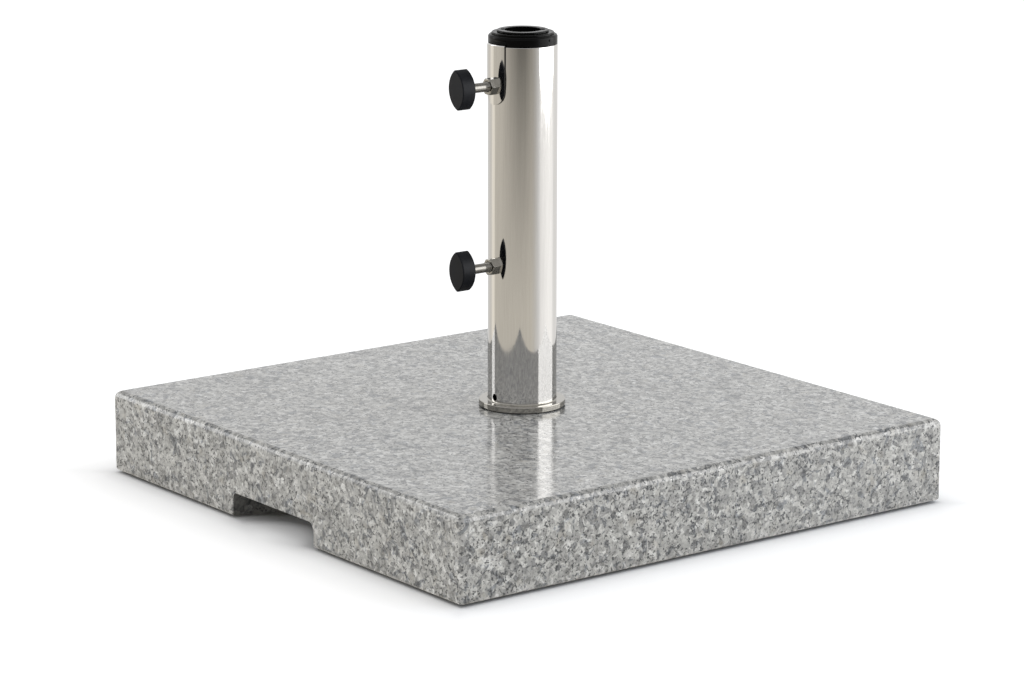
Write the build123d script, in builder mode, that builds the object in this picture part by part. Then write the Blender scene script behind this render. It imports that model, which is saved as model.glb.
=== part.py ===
"""Parasol base: a granite slab that carries a stainless stand tube with two clamp screws.

Frame: +Z up, origin on the floor under the middle of the slab.
-Y is the side with the clamp screws and the first grip notch.
All dimensions are in millimetres.
"""

from build123d import *
from math import atan2, cos, degrees, radians, sin
import os

os.makedirs("parts", exist_ok=True)

# ---------------------------------------------------------------- driving dimensions

# Granite slab and its rubber feet
foot_height = 2.5
foot_diameter = 40
foot_inset = 55
foot_edge_radius = 0.8
slab_side = 500
slab_thickness = 70
slab_corner_radius = 3
slab_top_arris = 6
slab_bottom_arris = 2

# Finger recesses under the two opposite edges
notch_radius = 60.5
notch_centre_beyond_face = 12.7
notch_height = 20.2
notch_ceiling_radius = 7
notch_offset = 7

# Central bolt: M12 with a large washer, in a recess under the slab
bolt_diameter = 12
bolt_length = 80
bolt_across_flats = 19
bolt_head_height = 7.5
bolt_hole_diameter = 14
bolt_recess_diameter = 50
bolt_recess_depth = 16
washer_diameter = 44
washer_thickness = 3
spring_washer_diameter = 21
spring_washer_gap = 2.5
spring_washer_slant = 20
anchor_nut_height = 12
thread_clearance = 0.05
plain_hole_clearance = 0.5

# Flange and gasket
gasket_diameter = 71
gasket_thickness = 0.8
flange_diameter = 73
flange_thickness = 5
flange_edge_radius = 0.6
weld_leg = 1.2

# Stand tube
tube_diameter = 58
tube_wall = 1.5
tube_rim_height = 380.5
tube_rim_radius = 0.4
screw_hole_diameter = 10
drain_hole_diameter = 6
drain_hole_above_slab = 10.3

# Saddle plate at the rim
saddle_thickness = 1.4
saddle_gap = 0.05
saddle_half_angle = 22.6
saddle_tongue_drop = 4

# Clamp screws: M8 x 1.25
upper_screw_height = 347.5
lower_screw_height = 195.5
screw_diameter = 8
weld_nut_across_flats = 13
weld_nut_height = 6.7
nut_chamfer = 0.8
upper_nut_turn = 0
lower_nut_turn = 10
knob_face_distance = 69
knob_length = 33.3
knob_width = 20.8
knob_thickness = 13
knob_tip_radius = 2
knob_edge_radius = 1.2
knob_bore_depth = 9
upper_knob_lean = 7
lower_knob_lean = 3
rod_end_distance = 29
rod_end_chamfer = 0.6
tip_length = 3
tip_head_diameter = 6.6
tip_stem_diameter = 4
tip_stem_length = 5

# Nested pole reducers
reducer_skirt_depth = 22
reducer_clearance = 0.3
collar_diameter = 57.6
collar_height = 8.2
collar_edge_radius = 2.2
collar_bore = 49.2
middle_ring_diameter = 52
middle_ring_bore = 39.2
inner_ring_diameter = 43
pole_bore = 30.4
ring_flange_thickness = 1.7
ring_edge_radius = 0.8
lip_relief_gap = 0.4
lip_relief_margin = 2.4
pry_notch_reach = 18
pry_notch_width = 7
pry_notch_depth = 8
pry_notch_angle = 52
dimple_diameter = 1.8
dimple_depth = 1.2
dimple_angle = 12
dimple_height = 4.6

# ---------------------------------------------------------------- derived levels and radii

slab_top = foot_height + slab_thickness
flange_bottom = slab_top + gasket_thickness
flange_top = flange_bottom + flange_thickness
recess_ceiling = foot_height + bolt_recess_depth
washer_bottom = recess_ceiling - washer_thickness
tube_radius = tube_diameter / 2
tube_bore_radius = tube_radius - tube_wall
saddle_inner_radius = tube_radius + saddle_gap
saddle_outer_radius = saddle_inner_radius + saddle_thickness
saddle_half_width = saddle_outer_radius * sin(radians(saddle_half_angle))
saddle_top = tube_rim_height + saddle_thickness
tongue_centre = upper_screw_height - saddle_tongue_drop
tongue_height = saddle_top - tongue_centre
collar_top = tube_rim_height + collar_height
middle_ring_top = collar_top + ring_flange_thickness
inner_ring_top = middle_ring_top + ring_flange_thickness
skirt_bottom = tube_rim_height - reducer_skirt_depth


def save(builder, name):
    """Label a finished piece and write it as its own STEP file."""
    builder.part.label = name
    export_step(builder.part, f"parts/{name}.step")


def screw_plane(distance, height, lean=0):
    """A plane that faces -Y, this far from the tube's axis, with its upright turned towards -X by lean."""
    x_dir = (cos(radians(lean)), 0, sin(radians(lean)))
    return Plane(origin=(0, -distance, height), x_dir=x_dir, z_dir=(0, -1, 0))


# ---------------------------------------------------------------- granite slab

# The cup wheel that grinds the grip notches into the underside, half of it below the slab
with BuildPart() as notch_wheel:
    Cylinder(notch_radius, 2 * notch_height)
    fillet(notch_wheel.edges().group_by(Axis.Z)[-1], notch_ceiling_radius)

# What the mason rounds off one top edge; it is wider than the upright corners, so it is cut as a bar
with BuildPart() as arris_waste:
    with BuildSketch(Plane.XZ):
        with Locations((slab_side / 2 - slab_top_arris, slab_top - slab_top_arris)):
            Rectangle(2 * slab_top_arris, 2 * slab_top_arris, align=(Align.MIN, Align.MIN))
            Circle(slab_top_arris, mode=Mode.SUBTRACT)
    extrude(amount=slab_side / 2, both=True)

with BuildPart() as slab:
    with BuildSketch(Plane.XY.offset(foot_height)):
        RectangleRounded(slab_side, slab_side, slab_corner_radius)
    extrude(amount=slab_thickness)
    fillet(slab.faces().sort_by(Axis.Z)[0].edges(), slab_bottom_arris)
    with PolarLocations(0, 4):
        add(arris_waste.part, mode=Mode.SUBTRACT)
    for side in (-1, 1):
        notch_y = side * (slab_side / 2 + notch_centre_beyond_face)
        with Locations((side * notch_offset, notch_y, foot_height)):
            add(notch_wheel.part, mode=Mode.SUBTRACT)
    # Bolt hole with its recess from beneath
    with Locations(Location((0, 0, foot_height), (180, 0, 0))):
        CounterBoreHole(bolt_hole_diameter / 2, bolt_recess_diameter / 2, bolt_recess_depth)
save(slab, "granite_slab")

# ---------------------------------------------------------------- rubber feet

foot_offset = slab_side / 2 - foot_inset
foot_places = [(-1, -1), (1, -1), (1, 1), (-1, 1)]
for number, (side_x, side_y) in enumerate(foot_places, start=1):
    with BuildPart() as foot:
        with BuildSketch():
            with Locations((side_x * foot_offset, side_y * foot_offset)):
                Circle(foot_diameter / 2)
        extrude(amount=foot_height)
        fillet(foot.edges().group_by(Axis.Z)[0], foot_edge_radius)
    save(foot, f"foot_pad_{number}")

# ---------------------------------------------------------------- central bolt and its washers

with BuildPart() as centre_washer:
    with BuildSketch(Plane.XY.offset(washer_bottom)):
        Circle(washer_diameter / 2)
        Circle(bolt_diameter / 2 + plain_hole_clearance, mode=Mode.SUBTRACT)
    extrude(amount=washer_thickness)
save(centre_washer, "centre_washer")

with BuildPart() as spring_washer:
    with BuildSketch(Plane.XY.offset(washer_bottom - washer_thickness)):
        Circle(spring_washer_diameter / 2)
        Circle(bolt_diameter / 2 + plain_hole_clearance, mode=Mode.SUBTRACT)
    extrude(amount=washer_thickness)
    # The slanted split that makes it springy
    split_middle = washer_bottom - washer_thickness / 2
    with Locations(Location((spring_washer_diameter / 2, 0, split_middle), (spring_washer_slant, 0, 0))):
        Box(spring_washer_diameter, spring_washer_gap, 3 * washer_thickness, mode=Mode.SUBTRACT)
save(spring_washer, "spring_washer")

head_top = washer_bottom - washer_thickness
with BuildPart() as centre_bolt:
    with BuildSketch(Plane.XY.offset(head_top - bolt_head_height)):
        RegularPolygon(bolt_across_flats / 2, 6, major_radius=False)
    extrude(amount=bolt_head_height)
    chamfer(centre_bolt.faces().sort_by(Axis.Z)[0].edges(), nut_chamfer)
    with BuildSketch(Plane.XY.offset(head_top)):
        Circle(bolt_diameter / 2)
    extrude(amount=bolt_length)
    chamfer(centre_bolt.faces().sort_by(Axis.Z)[-1].edges(), rod_end_chamfer)
save(centre_bolt, "centre_bolt")

with BuildPart() as anchor_nut:
    with BuildSketch(Plane.XY.offset(flange_top)):
        RegularPolygon(bolt_across_flats / 2, 6, major_radius=False)
        Circle(bolt_diameter / 2 + thread_clearance, mode=Mode.SUBTRACT)
    extrude(amount=anchor_nut_height)
    chamfer(anchor_nut.faces().sort_by(Axis.Z)[-1].outer_wire().edges(), nut_chamfer)
save(anchor_nut, "anchor_nut")

# ---------------------------------------------------------------- gasket and flange

with BuildPart() as gasket:
    with BuildSketch(Plane.XY.offset(slab_top)):
        Circle(gasket_diameter / 2)
        Circle(bolt_hole_diameter / 2, mode=Mode.SUBTRACT)
    extrude(amount=gasket_thickness)
save(gasket, "flange_gasket")

# The flange's section includes the hollow weld bead that runs around the tube's foot
with BuildPart() as flange:
    with BuildSketch(Plane.XZ) as flange_section:
        with BuildLine():
            hole_edge = bolt_diameter / 2 + plain_hole_clearance
            bead_foot = (tube_radius + weld_leg, flange_top)
            bead_top = (tube_radius, flange_top + weld_leg)
            Polyline(
                bead_top,
                (tube_radius, flange_top),
                (hole_edge, flange_top),
                (hole_edge, flange_bottom),
                (flange_diameter / 2, flange_bottom),
                (flange_diameter / 2, flange_top),
                bead_foot,
            )
            RadiusArc(bead_foot, bead_top, weld_leg)
        make_face()
    revolve(axis=Axis.Z)
    rim_edges = flange.edges().filter_by(GeomType.CIRCLE).filter_by(
        lambda edge: abs(edge.radius - flange_diameter / 2) < 0.01
    )
    fillet(rim_edges, flange_edge_radius)
save(flange, "base_flange")

# ---------------------------------------------------------------- stand tube

with BuildPart() as tube:
    with BuildSketch(Plane.XY.offset(flange_top)):
        Circle(tube_radius)
        Circle(tube_bore_radius, mode=Mode.SUBTRACT)
    extrude(amount=tube_rim_height - flange_top)
    fillet(tube.edges().group_by(Axis.Z)[-1], tube_rim_radius)
    for height in (upper_screw_height, lower_screw_height):
        with BuildSketch(screw_plane(0, height)):
            Circle(screw_hole_diameter / 2)
        extrude(amount=tube_diameter, mode=Mode.SUBTRACT)
    with BuildSketch(screw_plane(0, slab_top + drain_hole_above_slab)):
        Circle(drain_hole_diameter / 2)
    extrude(amount=tube_diameter, mode=Mode.SUBTRACT)
save(tube, "stand_tube")

# ---------------------------------------------------------------- saddle plate at the rim

# A rolled plate with a lip over the rim, trimmed to a round-bottomed tongue
with BuildPart() as saddle:
    with BuildSketch(Plane.XY.offset(tongue_centre - saddle_half_width)):
        Circle(saddle_outer_radius)
        Circle(saddle_inner_radius, mode=Mode.SUBTRACT)
    extrude(amount=tongue_height + saddle_half_width)
    with BuildSketch(Plane.XY.offset(tube_rim_height)):
        Circle(saddle_outer_radius)
        Circle(tube_bore_radius, mode=Mode.SUBTRACT)
    extrude(amount=saddle_thickness)
    fillet(saddle.faces().sort_by(Axis.Z)[-1].outer_wire().edges(), saddle_thickness - 0.1)
    with BuildSketch(screw_plane(0, tongue_centre)):
        Circle(saddle_half_width)
        with Locations((0, tongue_height / 2)):
            Rectangle(2 * saddle_half_width, tongue_height)
        with Locations((0, saddle_tongue_drop)):
            Circle(screw_hole_diameter / 2, mode=Mode.SUBTRACT)
    extrude(amount=tube_diameter, mode=Mode.INTERSECT)
save(saddle, "rim_saddle")

# ---------------------------------------------------------------- clamp screws


def build_weld_nut(name, seat_radius, height, turn):
    """A hexagon nut whose foot is shaped to the round wall it is welded to; turn lifts its +X corner."""
    with BuildPart() as nut:
        with BuildSketch(screw_plane(tube_bore_radius, height)):
            RegularPolygon(weld_nut_across_flats / 2, 6, major_radius=False, rotation=turn)
        extrude(amount=seat_radius - tube_bore_radius + weld_nut_height)
        chamfer(nut.faces().sort_by(Axis.Y)[0].edges(), nut_chamfer)
        with BuildSketch(Plane.XY.offset(height - weld_nut_across_flats)):
            Circle(seat_radius)
        extrude(amount=2 * weld_nut_across_flats, mode=Mode.SUBTRACT)
        with BuildSketch(screw_plane(0, height)):
            Circle(screw_diameter / 2 + thread_clearance)
        extrude(amount=tube_diameter, mode=Mode.SUBTRACT)
    save(nut, name)


def build_screw_rod(name, height):
    """The M8 rod, from inside its knob to its flat end, with a socket for the tip."""
    buried_end = knob_face_distance - knob_thickness + knob_bore_depth
    with BuildPart() as rod:
        with BuildSketch(screw_plane(rod_end_distance, height)):
            Circle(screw_diameter / 2)
        extrude(amount=buried_end - rod_end_distance)
        chamfer(rod.edges().group_by(Axis.Y)[-1], rod_end_chamfer)
        with BuildSketch(screw_plane(rod_end_distance, height)):
            Circle(tip_stem_diameter / 2 + thread_clearance)
        extrude(amount=tip_stem_length, mode=Mode.SUBTRACT)
    save(rod, name)


def build_screw_tip(name, height):
    """The plastic pad that presses on the pole, with the stem it swivels on."""
    with BuildPart() as tip:
        with BuildSketch(screw_plane(rod_end_distance - tip_length, height)):
            Circle(tip_head_diameter / 2)
        extrude(amount=tip_length)
        fillet(tip.edges().group_by(Axis.Y)[-1], rod_end_chamfer)
        with BuildSketch(screw_plane(rod_end_distance, height)):
            Circle(tip_stem_diameter / 2)
        extrude(amount=tip_stem_length - rod_end_chamfer)
    save(tip, name)


def build_knob(name, height, lean):
    """A flat oval knob: two long arcs that meet in two small round tips."""
    half_length = knob_length / 2
    half_width = knob_width / 2
    tip_centre = half_length - knob_tip_radius
    side_radius = (half_width**2 + tip_centre**2 - knob_tip_radius**2) / (
        2 * (half_width - knob_tip_radius)
    )
    side_centre = side_radius - half_width
    meeting_angle = degrees(atan2(tip_centre, side_centre))
    with BuildPart() as knob:
        with BuildSketch(screw_plane(knob_face_distance - knob_thickness, height, lean)):
            with BuildLine():
                CenterArc((-side_centre, 0), side_radius, -meeting_angle, 2 * meeting_angle)
                CenterArc((side_centre, 0), side_radius, 180 - meeting_angle, 2 * meeting_angle)
                CenterArc((0, tip_centre), knob_tip_radius, meeting_angle, 180 - 2 * meeting_angle)
                CenterArc((0, -tip_centre), knob_tip_radius, 180 + meeting_angle, 180 - 2 * meeting_angle)
            make_face()
        extrude(amount=knob_thickness)
        fillet(knob.edges().group_by(Axis.Y)[0], knob_edge_radius)
        fillet(knob.edges().group_by(Axis.Y)[-1], knob_edge_radius)
        with BuildSketch(screw_plane(knob_face_distance - knob_thickness, height)):
            Circle(screw_diameter / 2)
        extrude(amount=knob_bore_depth, mode=Mode.SUBTRACT)
    save(knob, name)


build_weld_nut("upper_weld_nut", saddle_outer_radius, upper_screw_height, upper_nut_turn)
build_weld_nut("lower_weld_nut", tube_radius, lower_screw_height, lower_nut_turn)
for place, height, lean in (
    ("upper", upper_screw_height, upper_knob_lean),
    ("lower", lower_screw_height, lower_knob_lean),
):
    build_screw_rod(f"{place}_screw_rod", height)
    build_screw_tip(f"{place}_screw_tip", height)
    build_knob(f"{place}_knob", height, lean)

# ---------------------------------------------------------------- nested pole reducers

with BuildPart() as collar:
    with BuildSketch(Plane.XY.offset(tube_rim_height)):
        Circle(collar_diameter / 2)
    extrude(amount=collar_height)
    fillet(collar.edges().group_by(Axis.Z)[-1], collar_edge_radius)
    with BuildSketch(Plane.XY.offset(skirt_bottom)):
        Circle(tube_bore_radius - reducer_clearance)
    extrude(amount=reducer_skirt_depth)
    with BuildSketch(Plane.XY.offset(skirt_bottom)):
        Circle(collar_bore / 2)
    extrude(amount=reducer_skirt_depth + collar_height, mode=Mode.SUBTRACT)
    # Relief over the saddle's lip
    relief_half_angle = saddle_half_angle + lip_relief_margin
    relief_half_width = collar_diameter / 2 * sin(radians(relief_half_angle))
    with BuildSketch(Plane.XY.offset(tube_rim_height)):
        with Locations((0, -collar_diameter / 2)):
            Rectangle(2 * relief_half_width, collar_diameter / 2)
        Circle(tube_bore_radius - reducer_clearance, mode=Mode.SUBTRACT)
    extrude(amount=saddle_thickness + lip_relief_gap, mode=Mode.SUBTRACT)
    # Small moulded dimple in the side
    dimple_centre = Vector(cos(radians(dimple_angle)), sin(radians(dimple_angle)), 0)
    dimple_origin = dimple_centre * (collar_diameter / 2) + Vector(0, 0, tube_rim_height + dimple_height)
    with BuildSketch(Plane(origin=dimple_origin, z_dir=-dimple_centre)):
        Circle(dimple_diameter / 2)
    extrude(amount=dimple_depth, mode=Mode.SUBTRACT)
save(collar, "reducer_collar")

with BuildPart() as middle_ring:
    with BuildSketch(Plane.XY.offset(collar_top)):
        Circle(middle_ring_diameter / 2)
    extrude(amount=ring_flange_thickness)
    fillet(middle_ring.edges().group_by(Axis.Z)[-1], ring_edge_radius)
    with BuildSketch(Plane.XY.offset(skirt_bottom)):
        Circle(collar_bore / 2 - reducer_clearance)
    extrude(amount=collar_top - skirt_bottom)
    with BuildSketch(Plane.XY.offset(skirt_bottom)):
        Circle(middle_ring_bore / 2)
    extrude(amount=middle_ring_top - skirt_bottom, mode=Mode.SUBTRACT)
save(middle_ring, "reducer_middle_ring")

with BuildPart() as inner_ring:
    with BuildSketch(Plane.XY.offset(middle_ring_top)):
        Circle(inner_ring_diameter / 2)
    extrude(amount=ring_flange_thickness)
    fillet(inner_ring.edges().group_by(Axis.Z)[-1], ring_edge_radius)
    with BuildSketch(Plane.XY.offset(skirt_bottom)):
        Circle(middle_ring_bore / 2 - reducer_clearance)
    extrude(amount=middle_ring_top - skirt_bottom)
    with BuildSketch(Plane.XY.offset(skirt_bottom)):
        Circle(pole_bore / 2)
    extrude(amount=inner_ring_top - skirt_bottom, mode=Mode.SUBTRACT)
    # Two pry notches across the bore's mouth
    with BuildSketch(Plane.XY.offset(inner_ring_top - pry_notch_depth)):
        Rectangle(2 * pry_notch_reach, pry_notch_width, rotation=pry_notch_angle)
    extrude(amount=pry_notch_depth, mode=Mode.SUBTRACT)
save(inner_ring, "reducer_inner_ring")
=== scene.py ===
"""Looks for the parasol base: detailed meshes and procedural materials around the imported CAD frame.

All lengths are in metres, in the CAD's own frame: +Z up, origin on the floor under the slab,
-Y towards the clamp screws. MM turns a size given in millimetres into metres.
"""

from math import asin, atan2, cos, pi, radians, sin, sqrt, tan

import bmesh
import bpy
from mathutils import Matrix, Vector


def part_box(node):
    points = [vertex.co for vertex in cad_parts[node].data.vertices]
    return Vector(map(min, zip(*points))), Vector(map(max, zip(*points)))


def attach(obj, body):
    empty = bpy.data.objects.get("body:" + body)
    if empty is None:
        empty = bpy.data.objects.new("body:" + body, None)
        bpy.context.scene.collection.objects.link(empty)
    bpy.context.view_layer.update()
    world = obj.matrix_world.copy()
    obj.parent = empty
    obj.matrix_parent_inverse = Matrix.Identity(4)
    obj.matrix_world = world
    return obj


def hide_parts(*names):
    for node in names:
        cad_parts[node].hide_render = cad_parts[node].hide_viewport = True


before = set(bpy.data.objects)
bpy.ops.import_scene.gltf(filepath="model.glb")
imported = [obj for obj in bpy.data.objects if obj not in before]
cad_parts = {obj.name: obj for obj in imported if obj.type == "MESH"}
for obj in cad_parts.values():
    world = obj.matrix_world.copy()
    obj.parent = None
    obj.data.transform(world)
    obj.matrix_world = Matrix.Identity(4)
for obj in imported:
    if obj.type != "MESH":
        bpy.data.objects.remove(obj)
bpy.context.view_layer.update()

MM = 0.001
TURN = 2 * pi

# ---------------- sizes read from the frame

slab_low, slab_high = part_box("granite_slab")
SLAB_HALF = slab_high.x
SLAB_BOTTOM = slab_low.z
SLAB_TOP = slab_high.z
tube_low, tube_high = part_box("stand_tube")
TUBE_RADIUS = tube_high.x
TUBE_RIM = tube_high.z
flange_low, flange_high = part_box("base_flange")
collar_low, collar_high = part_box("reducer_collar")
middle_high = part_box("reducer_middle_ring")[1]
inner_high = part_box("reducer_inner_ring")[1]
saddle_low, saddle_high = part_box("rim_saddle")

# Sizes that the CAD part also uses
SLAB_CORNER = 3 * MM
TOP_ARRIS = 6 * MM
BOTTOM_ARRIS = 2 * MM
NOTCH_RADIUS = 60.5 * MM
NOTCH_BEYOND_FACE = 12.7 * MM
NOTCH_HEIGHT = 20.2 * MM
NOTCH_CEILING_RADIUS = 7 * MM
NOTCH_OFFSET = 7 * MM
RECESS_RADIUS = 25 * MM
RECESS_DEPTH = 16 * MM
BOLT_HOLE_RADIUS = 7 * MM
TUBE_WALL = 1.5 * MM
TUBE_BORE = TUBE_RADIUS - TUBE_WALL
SCREW_HOLE_RADIUS = 5 * MM
DRAIN_RADIUS = 3 * MM
DRAIN_HEIGHT = SLAB_TOP + 10.3 * MM
SCREW_HEIGHT = {"upper": 347.5 * MM, "lower": 195.5 * MM}
SCREW_RADIUS = 4 * MM
SCREW_PITCH = 1.25 * MM
SADDLE_OUTER = TUBE_RADIUS + 1.45 * MM
SADDLE_THICKNESS = 1.15 * MM
SADDLE_HALF_ANGLE = asin(saddle_high.x / SADDLE_OUTER)
WELD_NUT_FLATS = 13 * MM
NUT_TURN = {"upper": 0.0, "lower": radians(10)}
KNOB_LENGTH = 33.3 * MM
KNOB_WIDTH = 20.8 * MM
KNOB_TIP_RADIUS = 2 * MM
KNOB_LEAN = {"upper": radians(7), "lower": radians(3)}
RING_CLEARANCE = 0.3 * MM
COLLAR_BORE = 24.6 * MM
MIDDLE_BORE = 19.6 * MM
POLE_BORE = 15.2 * MM
SKIRT_BOTTOM = collar_low.z
SKIRT_CHAMFER = 0.6 * MM
WELD_LEG = 1.2 * MM
FLANGE_EDGE = 0.6 * MM
FLANGE_TOP = flange_high.z - WELD_LEG
BOLT_CLEARANCE_RADIUS = 6.5 * MM
BOLT_FLATS = 19 * MM

# Points round a turned piece
ROUND = 192
ROUND_SMALL = 96
ROUND_SCREW = 64
ROUND_RING = 240
ROUND_POLISHED = 256

# Edges that bend more than this stay sharp
CREASE_ANGLE = radians(32)
# Edges of a nut that bend more than this are rounded, in degrees
NUT_EDGE = 28


# ---------------- mesh helpers


def shade_smooth(mesh):
    """Shade a mesh smooth but for its real corners."""
    mesh.polygons.foreach_set("use_smooth", [True] * len(mesh.polygons))
    mesh.set_sharp_from_angle(angle=CREASE_ANGLE)


def finish_mesh(name, bm):
    """Turn a bmesh into an object with outward normals."""
    bmesh.ops.recalc_face_normals(bm, faces=bm.faces)
    mesh = bpy.data.meshes.new(name)
    bm.to_mesh(mesh)
    bm.free()
    shade_smooth(mesh)
    piece = bpy.data.objects.new(name, mesh)
    bpy.context.scene.collection.objects.link(piece)
    return piece


def bridge(bm, ring_a, ring_b):
    """Join two closed rings of the same number of points with quads."""
    count = len(ring_a)
    for i in range(count):
        j = (i + 1) % count
        bm.faces.new((ring_a[i], ring_a[j], ring_b[j], ring_b[i]))


def enclose(bm, rings):
    """Join rings of points in their order, with a face across each end."""
    for ring_a, ring_b in zip(rings, rings[1:]):
        bridge(bm, ring_a, ring_b)
    bm.faces.new(rings[0])
    bm.faces.new(rings[-1])


def arc(centre_r, centre_z, radius, start, end, steps=8):
    """Points (r, z) on an arc; the angles are in degrees from the +r direction."""
    points = []
    for k in range(steps + 1):
        angle = radians(start + (end - start) * k / steps)
        points.append((centre_r + radius * cos(angle), centre_z + radius * sin(angle)))
    return points


def turned_rings(bm, profile, around, wobble):
    """A ring of points about Z for each profile point (r, z); wobble(angle, r, z) may shift them."""
    rings = []
    for r, z in profile:
        ring = []
        for k in range(around):
            angle = TURN * k / around
            radius, height = wobble(angle, r, z) if wobble else (r, z)
            ring.append(bm.verts.new((radius * cos(angle), radius * sin(angle), height)))
        rings.append(ring)
    return rings


def lathe(name, profile, around=ROUND, wobble=None):
    """Turn a closed profile of (r, z) points about Z."""
    bm = bmesh.new()
    rings = turned_rings(bm, profile, around, wobble)
    for ring_a, ring_b in zip(rings, rings[1:] + rings[:1]):
        bridge(bm, ring_a, ring_b)
    return finish_mesh(name, bm)


def turned_rod(name, profile, around=ROUND_SMALL, wobble=None):
    """Turn an open profile of (r, z) points about Z; it starts and ends at its end faces."""
    bm = bmesh.new()
    enclose(bm, turned_rings(bm, profile, around, wobble))
    return finish_mesh(name, bm)


def screw_place(height, lean=0.0):
    """The matrix that lays a piece made along +Z on a screw's axis, pointing out along -Y."""
    outward = Matrix.Rotation(pi / 2, 4, "X")
    return Matrix.Translation((0, 0, height)) @ Matrix.Rotation(-lean, 4, "Y") @ outward


def place(piece, matrix):
    """Move a piece's mesh itself, so that its object stays at the origin."""
    piece.data.transform(matrix)
    return piece


def cutter_cylinder(radius, length, matrix, around=ROUND_SMALL):
    """A closed cylinder centred on its own origin, for a boolean cut."""
    cutter = turned_rod("cutter", [(radius, -length / 2), (radius, length / 2)], around)
    return place(cutter, matrix)


def front_hole_cutter(height, radius):
    """A cylinder through the tube's front wall only, square to it."""
    spot = Matrix.Translation((0, -TUBE_RADIUS, height)) @ Matrix.Rotation(pi / 2, 4, "X")
    return cutter_cylinder(radius, 12 * MM, spot, ROUND_SCREW)


def apply_modifier(piece, kind, **settings):
    """Add one modifier, keep its result as the piece's mesh, and drop the modifier."""
    modifier = piece.modifiers.new(kind.lower(), kind)
    for key, value in settings.items():
        setattr(modifier, key, value)
    graph = bpy.context.evaluated_depsgraph_get()
    result = bpy.data.meshes.new_from_object(piece.evaluated_get(graph))
    old = piece.data
    piece.modifiers.clear()
    piece.data = result
    bpy.data.meshes.remove(old)
    return piece


def cut(piece, cutters):
    """Take each cutter out of the piece, then delete the cutters."""
    for cutter in cutters:
        apply_modifier(piece, "BOOLEAN", object=cutter, operation="DIFFERENCE", solver="EXACT")
        mesh = cutter.data
        bpy.data.objects.remove(cutter)
        bpy.data.meshes.remove(mesh)
    return piece


def soften(piece, width, angle):
    """Round the edges that bend more than this angle a little, and shade the rest smooth."""
    apply_modifier(
        piece, "BEVEL", width=width, segments=2, limit_method="ANGLE",
        angle_limit=radians(angle), use_clamp_overlap=True,
    )
    shade_smooth(piece.data)
    return piece


def weigh_normals(piece):
    """Let the large flat faces keep their own shading beside the small round ones."""
    return apply_modifier(piece, "WEIGHTED_NORMAL", keep_sharp=True, weight=80)


def prism(name, outline, low, high):
    """An upright prism over an outline of (x, y) points."""
    bm = bmesh.new()
    enclose(bm, [[bm.verts.new((x, y, z)) for x, y in outline] for z in (low, high)])
    return finish_mesh(name, bm)


def thread_grooves(low, high, pitch, depth):
    """A wobble that cuts a V-shaped screw thread between two heights, fading at the run-out."""
    flank_slope = 1.35
    root_flat = 0.18

    def shape(angle, r, z):
        if not low <= z <= high:
            return r, z
        phase = (z / pitch - angle / TURN) % 1
        crest = min(1.0, max(0.0, flank_slope * abs(2 * phase - 1) - root_flat))
        fade = min(1.0, (high - z) / pitch, (z - low) / (0.5 * pitch))
        return r - depth * (1 - crest) * fade, z
    return shape


def steps_between(r, low, high, step):
    """Points (r, z) up a straight side, close enough for a thread."""
    count = max(1, round((high - low) / step))
    return [(r, low + (high - low) * k / count) for k in range(count + 1)]


def hexagon_nut(name, flats, low, high, chamfer_low=False, chamfer_high=True):
    """A hexagon prism about Z with corners at +-Y and cone-chamfered ends."""
    corner_radius = flats / sqrt(3)
    corners = [
        (corner_radius * cos(pi / 2 + TURN * k / 6), corner_radius * sin(pi / 2 + TURN * k / 6))
        for k in range(6)
    ]
    nut = prism(name, corners, low, high)
    reach = corner_radius + 2 * MM
    slope = tan(radians(30))
    chamfer_inset = 0.35 * MM
    start = flats / 2 - chamfer_inset
    lead = 1 * MM
    clear = 3 * MM
    for wanted, end, way in ((chamfer_high, high, 1), (chamfer_low, low, -1)):
        if wanted:
            profile = [
                (start - lead, end + way * slope * lead),
                (reach, end - way * slope * (reach - start)),
                (reach, end + way * clear),
                (start - lead, end + way * clear),
            ]
            cut(nut, [lathe("cutter", profile, ROUND_SMALL)])
    return nut


def true_round_normals(piece, radii, tolerance=0.02 * MM):
    """Give the faces on these cylinders about Z exact radial normals, so that polish shows no facets."""
    mesh = piece.data
    normals = [Vector(corner.vector) for corner in mesh.corner_normals]
    for face in mesh.polygons:
        corners = [mesh.vertices[v].co for v in face.vertices]
        spans = [sqrt(c.x**2 + c.y**2) for c in corners]
        for radius in radii:
            if all(abs(span - radius) < tolerance for span in spans):
                middle = face.center.xy.to_3d().normalized()
                way = 1 if face.normal.dot(middle) > 0 else -1
                for loop in face.loop_indices:
                    point = mesh.vertices[mesh.loops[loop].vertex_index].co
                    normals[loop] = way * point.xy.to_3d().normalized()
    mesh.normals_split_custom_set(normals)
    return piece


def dress(piece, material, body, node):
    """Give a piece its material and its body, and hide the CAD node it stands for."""
    if not piece.data.materials:
        piece.data.materials.append(material)
    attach(piece, body)
    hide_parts(node)
    return piece


# ---------------- material helpers


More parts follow.
